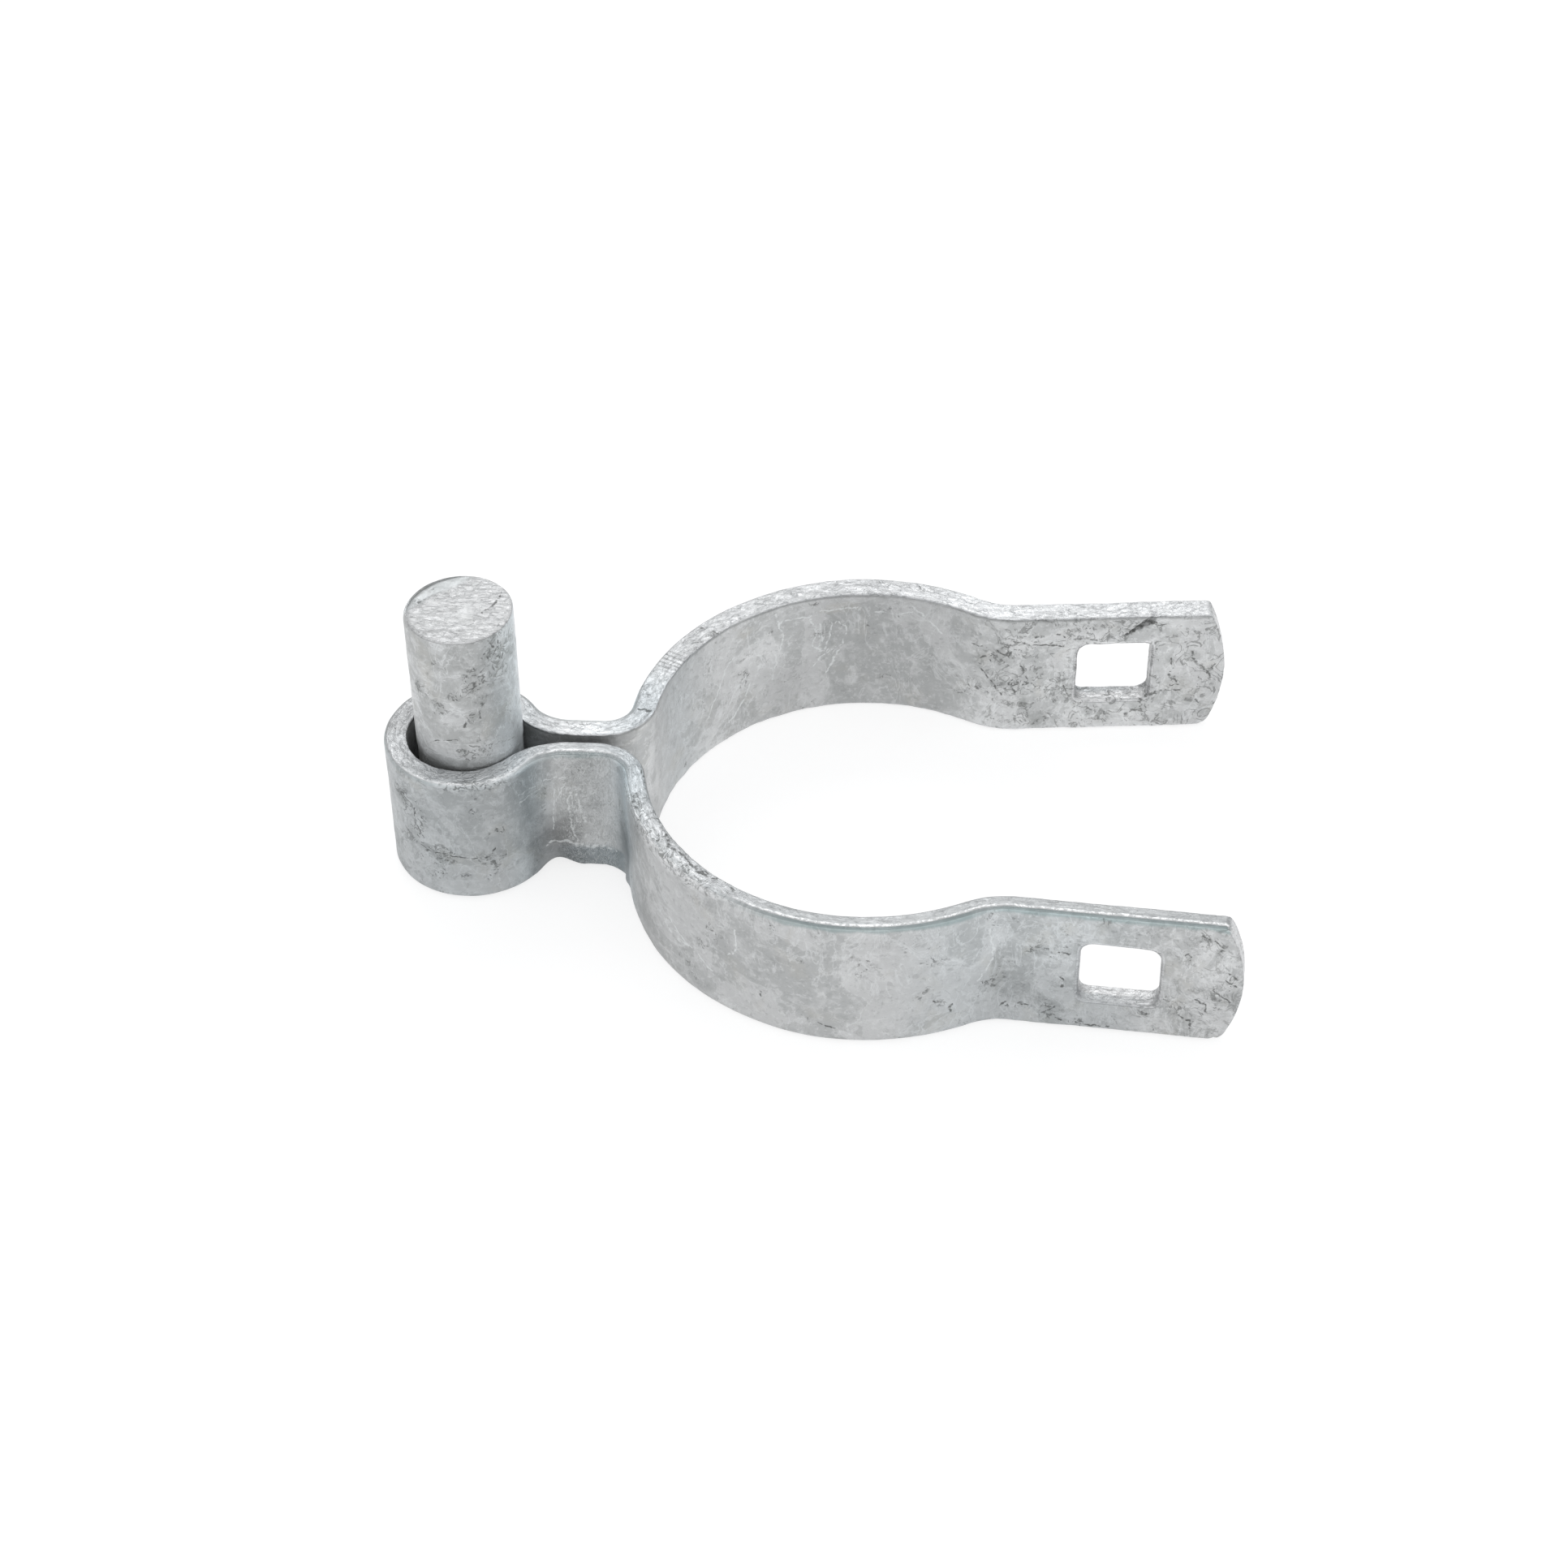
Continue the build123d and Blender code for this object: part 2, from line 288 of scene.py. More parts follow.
def fold(along):
    """Places and headings of the middle line at distances along one half of the strip."""
    x, y, heading = np.zeros((3, len(along)))
    px, py, angle = EYE_BACK_X, 0.0, pi / 2
    for begin, (length, turn) in zip(STARTS, TURNS):
        here = along >= begin
        dx, dy, ahead = stride(angle, length, turn, along[here] - begin)
        x[here], y[here], heading[here] = px + dx, py + dy, ahead
        dx, dy, angle = stride(angle, length, turn, length)
        px, py = px + dx, py + dy
    return x, y, heading


def fold_strip(s, t, z):
    """Places of strip points: s along from the eye's back, minus on the near half, t outwards."""
    x, y, heading = fold(np.abs(s))
    side = np.where(s < 0, NEAR, FAR)
    return np.stack([x - np.sin(heading) * t, side * (y + np.cos(heading) * t), z], axis=1)


def graded(low, high, fine, coarse, growth=1.38):
    """Places from low to high, close together at both and coarser between them."""
    span, reach, step = high - low, 0.0, fine
    ends = [0.0]
    while step < coarse and 2 * (reach + step) < span:
        reach += step
        ends.append(reach)
        step *= growth
    count = max(1, ceil((span - 2 * reach) / coarse))
    middle = [reach + (span - 2 * reach) * i / count for i in range(1, count)]
    return [low + d for d in ends + middle] + [high - d for d in reversed(ends)]


def chained(stops, fine, coarse):
    """One run of places through several stops, graded towards each."""
    places = [stops[0]]
    for low, high in zip(stops, stops[1:]):
        places += graded(low, high, fine, coarse)[1:]
    return np.array(places)


def lattice_skin(filled):
    """Quads round the filled cells of a lattice, facing out, and the lattice points they use."""
    padded = np.pad(filled, 1)
    counts = [n + 1 for n in filled.shape]
    points = np.arange(np.prod(counts)).reshape(counts)
    quads = []
    for axis in range(3):
        cells = np.moveaxis(padded, axis, 0)[:, 1:-1, 1:-1]
        ids = np.moveaxis(points, axis, 0)
        ring = [ids[:, :-1, :-1], ids[:, 1:, :-1], ids[:, 1:, 1:], ids[:, :-1, 1:]]
        corners = np.stack(ring, axis=-1)
        if axis == 1:
            corners = corners[..., ::-1]
        quads.append(corners[cells[:-1] & ~cells[1:]])
        quads.append(corners[~cells[:-1] & cells[1:]][:, ::-1])
    used, quads = np.unique(np.concatenate(quads), return_inverse=True)
    return quads.reshape(-1, 4), np.unravel_index(used, points.shape)


def square_to_round(a, b, corner, inward, radius):
    """Shifts that turn the square corner at corner into a round one."""
    da = (a - corner[0]) * -inward[0] + radius
    db = (b - corner[1]) * -inward[1] + radius
    near = (da > 0) & (db > 0)
    da, db = np.where(near, da, 1.0), np.where(near, db, 1.0)
    scale = np.maximum(da, db) / np.hypot(da, db) - 1
    return np.where(near, -inward[0] * da * scale, 0.0), np.where(near, -inward[1] * db * scale, 0.0)


def smooth(value, low, high):
    """0 below low, 1 above high, and an even S curve between them."""
    share = np.clip((value - low) / (high - low), 0, 1)
    return share * share * (3 - 2 * share)


def stretch(value, low, high, soft):
    """1 between low and high and 0 outside, with soft ends."""
    return smooth(value, low - soft, low + soft) * (1 - smooth(value, high - soft, high + soft))


def bump_at(value, centre, width):
    """A soft hump, 1 at the centre and gone beyond the width."""
    return 1 - smooth(np.abs(value - centre), 0, width)


def rough(places, size, seed, octaves=3):
    """Seeded random heights, about -1 to 1, with lumps about size across."""
    shift = Vector((seed * 17.3, seed * -5.1, seed * 9.7))
    return np.array([noise.fractal(Vector(p) + shift, 1.0, 2.0, octaves) for p in places / size])


def hole_warp(ds, dz, t, corners):
    """Moves points round a hole so that the lattice's square becomes the punched outline."""
    rim = np.clip((np.abs(t) - HALF_THICK) / HOLE_RIM_ROLL + 1, 0, 1)
    half = HOLE_HALF + HOLE_RIM_ROLL * (1 - np.sqrt(1 - rim**2))
    ring = np.maximum(np.maximum(np.abs(ds), np.abs(dz)) / HOLE_HALF, TINY)
    a, b = ds / ring / HOLE_HALF * half, dz / ring / HOLE_HALF * half
    low, high = (np.where(ds < 0, corners[i], corners[i + 2]) for i in (0, 1))
    radius = np.where(dz < 0, low, high)
    qa, qb = np.clip(a, radius - half, half - radius), np.clip(b, radius - half, half - radius)
    reach = np.maximum(np.hypot(a - qa, b - qb), 1e-9)
    a, b = qa + (a - qa) / reach * radius, qb + (b - qb) / reach * radius
    fade = 1 - smooth(ring, 1.0, 1.75)
    return (a - ds / ring) * fade, (b - dz / ring) * fade


def shape_arm(s, t, z, side):
    """Shifts along the strip and up for one arm: its square hole, crowned end and end corners."""
    arm = ARMS[side]
    along = side * s
    shift_s, shift_z = np.zeros_like(s), np.zeros_like(s)
    ds, dz = along - HOLE_AT, z - MID_HEIGHT
    da, db = hole_warp(ds, dz, t, arm["hole_corners"])
    fade = 1 - smooth(np.maximum(np.abs(ds), np.abs(dz)) / HOLE_HALF, 1.0, 1.7)
    shift_s += da + arm["hole_shift"][0] * fade
    shift_z += db + arm["hole_shift"][1] * fade
    end = HALF_LENGTH
    for (corner_z, inward), radius in zip(((0.0, 1), (STRAP_WIDTH, -1)), arm["end_corners"]):
        da, db = square_to_round(along, z, (end, corner_z), (-1, inward), radius)
        shift_s, shift_z = shift_s + da, shift_z + db
    drop = arm["crown"] - np.sqrt(arm["crown"] ** 2 - dz**2)
    drop += arm["end_lean"] * smooth(z, MID_HEIGHT, STRAP_WIDTH) - arm["end_shift"]
    shift_s -= drop * smooth(along, end - 9, end)
    here = along > ARM_BEND_AT
    return np.where(here, side * shift_s, 0.0), np.where(here, shift_z, 0.0)


def rolls(s):
    """Radii of the strip's upper edges along it: the outer one and the inner one."""
    half = np.abs(s)
    outer = 0.65 + 0.5 * smooth(half, 22, 30) - 0.7 * smooth(s, 45, 53)
    return outer, INNER_ROLL + 0.68 * smooth(-s, 24, 32)


def shape_section(s, t, z):
    """Shifts through and up that roll the strip's long edges, and those that ease its ends."""
    shift_s, shift_t, shift_z = np.zeros_like(s), np.zeros_like(s), np.zeros_like(s)
    outer, inner = rolls(s)
    edges = [(OUTER, -1, 0.0, 1, OUTER_ROLL), (INNER, 1, 0.0, 1, INNER_ROLL)]
    edges += [(OUTER, -1, TOP, -1, outer), (INNER, 1, TOP, -1, inner)]
    for corner_t, side, corner_z, inward, radius in edges:
        da, db = square_to_round(t, z, (corner_t, corner_z), (side, inward), radius)
        shift_t, shift_z = shift_t + da, shift_z + db
    upper_inside = smooth(z, 20.4, 22.6) * smooth(-t, -1.2, 1.6)
    shift_t += upper_inside * (0.22 * smooth(-s, 24, 32) - 0.36 * smooth(s, 24, 30))
    for end, inward in ((HALF_LENGTH, -1), (-HALF_LENGTH, 1)):
        for corner_t, side in ((OUTER, -1), (INNER, 1)):
            da, db = square_to_round(s, t, (end, corner_t), (inward, side), END_ROLL)
            shift_s, shift_t = shift_s + da, shift_t + db
    return shift_s, shift_t, shift_z


def point_normals(places, quads):
    """Unit normals of a closed mesh's points."""
    a, b, c, d = (places[quads[:, i]] for i in range(4))
    facing = np.cross(c - a, d - b)
    total = np.zeros_like(places)
    for i in range(4):
        for k in range(3):
            total[:, k] += np.bincount(quads[:, i], facing[:, k], len(places))
    return total / np.maximum(np.linalg.norm(total, axis=1), 1e-12)[:, None]


def leaf(s, z, tail, head, width):
    """A leaf shape from a sharp tail to a blunt head on a wall: 1 along its rib, 0 outside."""
    run = np.array(head) - np.array(tail)
    length = np.hypot(*run)
    along = ((s - tail[0]) * run[0] + (z - tail[1]) * run[1]) / length**2
    off = np.abs((s - tail[0]) * run[1] - (z - tail[1]) * run[0]) / length
    blunt = np.sqrt(np.clip(1.02 - along, 0, 1) / 0.4).clip(0, 1)
    wide = width * np.clip(along, 0.02, 1) ** 0.8 * blunt
    inside = (along > 0) & (along < 1.02)
    return np.where(inside, np.clip(1 - off / np.maximum(wide, TINY), 0, 1), 0.0)


def place_object(name, data):
    """A new object in the scene."""
    made = bpy.data.objects.new(name, data)
    bpy.context.scene.collection.objects.link(made)
    return made


def make_piece(name, places, faces, material, fields):
    """A smooth closed mesh object in metres, with fields that its material reads."""
    mesh = bpy.data.meshes.new(name)
    mesh.from_pydata((places * METRES).tolist(), [], faces)
    mesh.polygons.foreach_set("use_smooth", np.ones(len(mesh.polygons), bool))
    for key, values in fields.items():
        kind, part = ("FLOAT", "value") if values.ndim == 1 else ("FLOAT_VECTOR", "vector")
        target = mesh.attributes.new(key, kind, "POINT")
        target.data.foreach_set(part, values.astype(np.float32).ravel())
    mesh.materials.append(material)
    return place_object(name, mesh)


def gouge_at(s, z):
    """The gouge beside the far arm's hole, from its thin tail to the strip's upper edge."""
    return leaf(s, z, (135.2, 18.5), (139.8, 23.0), 1.4)


def spilled_at(s, t, z, places):
    """Where the sheared edge's foil is smeared over the near half's outer roll."""
    uneven = 0.9 * rough(places, 2.2, 11, 3)
    saddle = stretch(s, -76, -47, 5) * smooth(z + uneven + 0.05 * (s + 60), 20.6, 21.8)
    eye = 0.8 * stretch(s, -24.5, -13, 2.5) * smooth(z + 0.5 * uneven, 22.0, 22.7)
    return (saddle + eye) * (t > 0.3)


def strap_heights(s, t, z, places):
    """How far the zinc and the knocks lift or sink the strap's skin, with the masks they leave."""
    half = np.abs(s)
    inner, outer = t < INNER + 0.02, t > OUTER - 0.02
    top_gap = STRAP_WIDTH - z
    edge_gap = np.minimum(top_gap, z)
    past = t - HALF_THICK + rolls(s)[0]
    sheared = np.where(inner | outer, 0.0, 1.0) * (1 - 0.85 * smooth(past, 0.1, 0.5))
    sheared *= 1 - 0.45 * smooth(-s, 74, 82) - 0.6 * bump_at(s, -36, 10)
    sheared = np.maximum(sheared, (1 - smooth(edge_gap, 0.1, 0.45)) * (t < 0) * (s > 0))
    spilled = spilled_at(s, t, z, places)
    sheared = np.maximum(sheared, spilled)
    stretched = np.stack([s * 0.45, t, z], axis=1)
    arm = smooth(half, ARM_BEND_AT - 6, ARM_AT + 6)
    heights = 0.085 * rough(places, 11.0, 1) + 0.028 * rough(places, 2.6, 2)
    heights += sheared * (0.075 * rough(stretched, 1.1, 3) + 0.05 * rough(places, 2.4, 4, 2))
    heights += (1 - sheared) * arm * 0.045 * rough(places, 1.7, 5)

    heights += 0.14 * spilled * rough(places, 0.9, 9, 2)
    heights -= 0.5 * gouge_at(s, z) * inner * (s > 0)
    burr = smooth(-t, 1.2, 1.6) * smooth(z, 21.8, 22.8) * (s > 50)
    heights += 0.12 * burr * rough(stretched, 1.5, 12, 3)
    notch = bump_at(s, 139.8, 1.0) * smooth(z, 22.0, 23.0) * smooth(-t, -0.2, 1.2)
    notch += 0.8 * bump_at(s, 132.4, 0.9) * smooth(z, 22.3, 23.1) * smooth(-t, 0.6, 1.5)
    heights -= 0.35 * notch
    crumbled = bump_at(half, 66.0, 16.0) * (s < 0) * (1 - smooth(top_gap, 0.6, 2.2))
    heights += 0.09 * crumbled * rough(places, 1.3, 7, 4)

    lip_reach = smooth(half, EYE_BEND_AT + 3.5, EYE_BEND_AT + 6.5) * (1 - smooth(half, 42.5, 45.5))
    ledge_at = 5.3 - 0.1 * (half - 29) + 0.25 * rough(places, 6.0, 8, 2)
    ledge = 1 - smooth(z, ledge_at - 0.7, ledge_at)
    heights += outer * lip_reach * (0.45 * ledge * smooth(z, -1.0, 3.4) - 0.12 * smooth(z, 5, 9))
    die_marks = bump_at(half, 36.4, 1.1) + 0.7 * bump_at(half, 39.0, 0.8)
    heights -= outer * lip_reach * 0.07 * die_marks * (s < 0)
    heights -= 0.10 * bump_at(s, -9.4, 1.3) * smooth(z, 8.5, 12) * outer
    heights += 0.5 * bump_at(half, 46.4, 2.2) * (1 - smooth(z, 1.0, 4.5)) * outer * (s < 0)
    return heights, sheared, spilled


def strap_wear(s, t, z):
    """How thick the dark pits lie, how light the patches are, and where painted shade lies: under a
    rolled edge, and under the far half's inner burr.
    """
    half = np.abs(s)
    arm = smooth(half, ARM_BEND_AT - 8, ARM_AT + 2)
    wear = 0.2 + np.where(s > 0, 0.60, 0.30) * arm + 0.35 * bump_at(half, 8, 14)
    wear += np.where(s > 0, 0.0, 0.12) * smooth(half, HOLE_AT + 3, HALF_LENGTH - 4)
    on_top = z > TOP - 0.01
    wear = np.where(on_top, 0.05, wear)
    wear += 0.9 * on_top * bump_at(s, 64, 13) * smooth(-t, -0.6, 1.3)
    wear += 1.1 * on_top * bump_at(s, -62, 14) * smooth(-t, -0.9, 0.9)
    lean = np.zeros_like(s)
    seen = np.where(s < 0, t > 0, t < 0)
    for along, height, radius in CLUSTERS:
        reach = np.hypot(s - along, z - height)
        wear += 1.2 * (1 - smooth(reach, 0.2 * radius, 1.25 * radius)) * seen
    for along, height, reach_s, reach_z, amount in PATCHES:
        reach = np.hypot((s - along) / reach_s, (z - height) / reach_z)
        lean += amount * (1 - smooth(reach, 0.7, 1.2)) * seen
    # The shade mask: painted shade on the outer roll, and a painted shade line under the far half's
    # inner burr
    outer = np.maximum(0.25, smooth(half, 76, 88) * (1 - 0.4 * bump_at(half, 114, 4)))
    outer = np.maximum(outer, 0.8 * bump_at(half, 36, 10))
    outer = np.maximum(outer, 0.6 * bump_at(half, 15, 11))
    inner = 0.08 * smooth(s, 50, 58) + 0.14 * smooth(s, 78, 86) + 0.25 * smooth(s, 104, 112)
    return wear, lean, np.where(t > 0, outer, inner * (t < 0))


def wall_tone(s, t, z):
    """How light the zinc is along the outer and the inner wall, with painted shade low in the bends by
    the neck, and the painted shade under the neck's lip.
    """
    half, near = np.abs(s), s < 0
    outer = 0.86 - 0.12 * (1 - smooth(half, 24, 30)) - 0.13 * bump_at(half, 37.5, 8.0)
    outer += 0.06 * smooth(half, HOLE_AT, HALF_LENGTH) + 0.06 * bump_at(half, 92, 18)
    outer += 0.14 * near * smooth(z, 11, 17) * bump_at(half, 26, 5)
    outer += 0.24 * near * smooth(z, 11, 17) * stretch(half, 43, 54, 3)
    outer += 0.09 * near * smooth(z, 9, 16) * smooth(half, 103, 112)
    patch = 1 - smooth(np.hypot((s + 118.2) / 4.4, (z - 10.5) / 6.8), 0.7, 1.0)
    outer *= 1 - 0.09 * patch
    # Painted shade low in the bends either side of the neck; further along, the outer wall is only
    # darker towards the bottom
    low = near * (1 - smooth(z, 7, 14))
    outer *= 1 - low * (0.48 * stretch(half, 25.5, 35, 2.5) + 0.42 * stretch(half, 42, 50, 3))
    outer *= 1 - low * (0.20 * stretch(half, 52, 62, 4) + 0.11 * stretch(half, 112, 137, 5))
    # Painted shade under the neck's lip
    below_lip_shade = smooth(half, EYE_BEND_AT + 3, NECK_AT + 1) * (1 - smooth(half, 42, 46))
    below_lip_shade *= 1 - smooth(z, 4.1, 4.9)
    outer *= 1 - 0.38 * below_lip_shade
    inner = 1.07 - 0.20 * (1 - smooth(half, 50, 76)) - 0.22 * stretch(half, 84, 111, 6)
    inner += 0.24 * bump_at(s, 44, 4) * smooth(z, 5, 9)
    # The inner wall darker towards the bottom
    low = 1 - smooth(z, 8, 15)
    inner -= low * (0.12 * stretch(half, 68, 84, 5) + 0.14 * bump_at(half, 80, 6))
    inner -= low * 0.09 * smooth(half, 136, 144) + 0.07 * smooth(half, 142, 148)
    return np.where(t > 0, outer, inner), below_lip_shade


def top_tone(s):
    """How light the zinc is along the strip's upper edge."""
    half = np.abs(s)
    far = 0.63 + 0.33 * bump_at(half, 37, 8) + 0.09 * bump_at(half, 55, 9)
    far += 0.06 * smooth(half, 63, 68) + 0.12 * smooth(half, 94, 110) + 0.08 * bump_at(half, 114, 10)
    far += 0.05 * smooth(half, 138, 150) - 0.12 * (1 - smooth(half, 5, 14))
    near = 0.60 + 0.13 * stretch(half, 10, 28, 2) + 0.12 * bump_at(half, 25, 4)
    near += 0.10 * stretch(half, 46, 78, 4) + 0.03 * bump_at(half, 5, 6)
    share = smooth(s, -1.5, 1.5)
    return far * share + near * (1 - share)


def strap_tone(s, t, z):
    """How light and how cool each stretch of the zinc is, where the cooler tint is a painted reflection
    in shaded stretches, and where a painted highlight lies along the rolled edge.
    """
    half, near = np.abs(s), s < 0
    tone, below_lip_shade = wall_tone(s, t, z)
    on_top = smooth(z, TOP - 0.7, TOP - 0.2) * (t < OUTER - 0.02)
    tone = tone * (1 - on_top) + top_tone(s) * on_top
    outside = (t > 0) * (1 - on_top)
    tinged = stretch(half, 104, 136, 6) + 1 - smooth(half, 18, 26)
    tone *= 1 + outside * (0.022 * tinged + 0.09 * bump_at(half, 47, 8))
    # The cooler tint is a painted reflection in shaded stretches, strongest under the neck's lip
    cool = np.where(t > -1.6, 2.6 * bump_at(half, 47, 13), 1.4 * bump_at(half, 56, 12)) - 0.35
    cool += 1.3 * bump_at(half, 26, 7) + 0.3 * bump_at(half, 13, 9) + 4.5 * below_lip_shade * (t > 0)
    cool += on_top * np.where(near, 1.1, 0.6)
    cool += outside * (1.5 * tinged + 2.4 * bump_at(half, 26, 6) + 2.2 * bump_at(half, 47, 8))
    # Where a painted highlight lies along the near half's rolled outer edge
    gleam = np.maximum(smooth(half, 74, 82) + 0.9 * bump_at(half, 34, 12), 0.85 * bump_at(half, 17, 15))
    return tone[:, None] * tinted(cool), gleam * near * (t > 0)


def tinted(cool):
    """Colour factors that turn a grey cooler: a painted cool reflection in shaded places."""
    return 1 + cool[:, None] * np.array([-0.016, 0.0, 0.008])


def wall_runs(through, runs):
    """Strokes on a wall as runs of strip places."""
    return [(width, *[(along, through, up) for along, up in points]) for width, *points in runs]


def level_runs(height, runs):
    """Strokes on a level face as runs of places."""
    return [(width, *[(a, b, height) for a, b in points]) for width, *points in runs]


def pin_runs(runs):
    """Strokes round the pin's side as runs of places, close enough to follow its curve."""
    made = []
    for width, *points in runs:
        last = len(points) - 1
        steps = np.linspace(0, last, 8 * last + 1)
        turn, height = (np.interp(steps, range(last + 1), values) for values in zip(*points))
        x, y = ((PIN_RADIUS + PIN_ZINC) * wave(np.radians(turn)) for wave in (np.cos, np.sin))
        made.append((width, *np.stack([x, y, height], axis=1)))
    return made


def stroke_fields(name, places, runs):
    """For each place the way to the nearest stroke, in that stroke's half widths, and its length."""
    way, gap = np.zeros((len(places), 3)), np.full(len(places), 99.0)
    for width, *points in runs:
        for start, end in zip(points, points[1:]):
            rib = np.subtract(end, start)
            share = np.clip((places - start) @ rib / (rib @ rib), 0, 1)
            off = (places - start - share[:, None] * rib) / width
            size = np.linalg.norm(off, axis=1)
            way = np.where((size < gap)[:, None], off, way)
            gap = np.minimum(size, gap)
    return {name + "_way": way, name + "_gap": gap}


def strap_lattice():
    """The strip's skin before the fold: its quads, and its points along, through and up."""
    half_stops = [0.0, HOLE_AT - HOLE_HALF, HOLE_AT + HOLE_HALF, HALF_LENGTH]
    half_places = chained(half_stops, LENGTH_EDGE_STEP, LENGTH_STEP)
    lengths = np.concatenate([-half_places[:0:-1], half_places])
    height_stops = [0.0, MID_HEIGHT - HOLE_HALF, MID_HEIGHT + HOLE_HALF, STRAP_WIDTH]
    heights = chained(height_stops, HEIGHT_EDGE_STEP, HEIGHT_STEP)
    throughs = chained([INNER, OUTER], THROUGH_EDGE_STEP, THROUGH_STEP)
    mid_s = np.abs(lengths[1:] + lengths[:-1]) / 2
    mid_z = (heights[1:] + heights[:-1]) / 2
    open_s = np.abs(mid_s - HOLE_AT) < HOLE_HALF
    open_z = np.abs(mid_z - MID_HEIGHT) < HOLE_HALF
    filled = np.ones((len(mid_s), len(throughs) - 1, len(mid_z)), bool)
    filled &= ~(open_s[:, None, None] & open_z[None, None, :])
    quads, (i, j, k) = lattice_skin(filled)
    return quads, lengths[i], throughs[j], heights[k]


def strap_places(s, t, z):
    """Where the strip's points lie once its arms and edges are shaped and it is folded."""
    half = np.abs(s)
    far_s, far_z = shape_arm(s, t, z, FAR)
    near_s, near_z = shape_arm(s, t, z, NEAR)
    roll_s, roll_t, roll_z = shape_section(s, t, z)
    raise_low = 1.75 * bump_at(half, 31.1, 4.8) + 0.2 * bump_at(half, 37.5, 5.0)
    low_z = np.where(s < 0, 1.0, 0.35) * raise_low * (1 - smooth(z, 0, 7.5))
    shaped_s, shaped_z = s + far_s + near_s + roll_s, z + far_z + near_z + roll_z + low_z
    return fold_strip(shaped_s, t + roll_t, shaped_z)


def strap_fields(s, t, z, sheared, spilled):
    """What the zinc reads at each of the strap's points."""
    half = np.abs(s)
    hole_reach = np.maximum(np.abs(half - HOLE_AT), np.abs(z - MID_HEIGHT))
    walls_of_hole = hole_reach < HOLE_HALF + TINY
    deep = walls_of_hole & (np.abs(t) < HALF_THICK - 0.05)
    sheared = np.where(walls_of_hole, 0.9, sheared)
    wear, lean, shade = strap_wear(s, t, z)
    tone, gleam = strap_tone(s, t, z)
    # Painted shade deep inside the punched holes, and a lighter tone where foil is smeared
    tone *= (1 - deep * np.where(s < 0, 0.20, 0.28) + 0.30 * spilled)[:, None]
    tone *= (1 - 0.55 * smooth(gouge_at(s, z), 0.05, 0.5) * (t < 0))[:, None]
    strip = np.stack([s, t, z], axis=1)
    dark = wall_runs(INNER, INNER_STROKES) + wall_runs(OUTER, OUTER_STROKES)
    dark += level_runs(TOP, TOP_STROKES)
    light = wall_runs(INNER, INNER_VEINS) + wall_runs(OUTER, OUTER_VEINS)
    return {
        "sheared": np.where(half > HALF_LENGTH - TINY, 0.8, sheared),
        "wear": wear + 1.4 * spilled,
        "lean": lean,
        "shade": shade,
        "tone": tone,
        "gleam": gleam,
        "roll": rolls(s)[0],
        "scuff": smooth(half, 30, 34) * (1 - smooth(half, 41, 44)) * (t > 0),
        "comb": bump_at(s, 57.5, 4.2) * (z > STRAP_WIDTH - 0.2),
        "strip": strip,
        **stroke_fields("dark", strip, dark),
        **stroke_fields("light", strip, light),
    }


def make_strap(material):
    """The strap as one closed mesh, folded from a lattice of strip points."""
    quads, s, t, z = strap_lattice()
    where = strap_places(s, t, z)
    lift, sheared, spilled = strap_heights(s, t, z, where)
    where = where + point_normals(where, quads) * lift[:, None]
    fields = strap_fields(s, t, z, sheared, spilled)
    return make_piece("dressed_strap", where, quads.tolist(), material, fields)


def pin_lattice():
    """The pin's skin as rings: points by radius, angle and height, quads, and each end's fan."""
    rings = [(SEAT_RADIUS * share, 0.0) for share in np.linspace(0, 1, FOOT_RINGS)[1:-1]]
    rings += [(PIN_RADIUS, z) for z in graded(0.0, PIN_LENGTH, PIN_EDGE_STEP, PIN_STEP)]
    rings += [(PIN_RADIUS * (1 - share), PIN_LENGTH) for share in np.linspace(0, 1, HEAD_RINGS)[1:-1]]
    radius, height = (np.repeat(values, PIN_AROUND) for values in zip(*rings))
    angle = np.tile(np.arange(PIN_AROUND) * 2 * pi / PIN_AROUND - pi, len(rings))
    count = len(radius)
    ids = np.arange(count).reshape(len(rings), PIN_AROUND)
    after = np.roll(ids, -1, axis=1)
    quads = np.stack([ids[:-1], after[:-1], after[1:], ids[1:]], axis=-1).reshape(-1, 4)
    fans = [[count, b, a] for a, b in zip(ids[0], after[0])]
    fans += [[count + 1, a, b] for a, b in zip(ids[-1], after[-1])]
    return radius, angle, height, quads, fans


def pin_places(radius, angle, height):
    """Where the pin's points lie, with its rims rounded and its seat thinner. The head was sheared
    off: its back and left edge is drawn over, its front and right one sharp."""
    drawn_way = radians(140)
    roll = 0.3 + 1.1 * (0.5 + 0.5 * np.cos(angle - drawn_way)) ** 1.5
    da, db = square_to_round(radius, height, (PIN_RADIUS, PIN_LENGTH), (-1, -1), roll)
    low_a, low_b = square_to_round(radius, height, (PIN_RADIUS, 0.0), (-1, 1), 0.6)
    seat = PIN_ZINC + (PIN_RADIUS - SEAT_RADIUS - 0.06) * (1 - smooth(height, 22.2, 23.3))
    spread = (radius + da + low_a) * (1 + (PIN_ZINC - seat * (height >= TINY)) / PIN_RADIUS)
    up = height + db + low_b
    where = np.stack([spread * np.cos(angle), spread * np.sin(angle), up], axis=1)
    drawn_by = where @ np.array([cos(drawn_way), sin(drawn_way), 0])
    where[:, 2] -= 0.45 * smooth(drawn_by, 3.6, 7.9) * (height > PIN_LENGTH - TINY)
    return np.vstack([where, [0, 0, 0], [0, 0, PIN_LENGTH]])


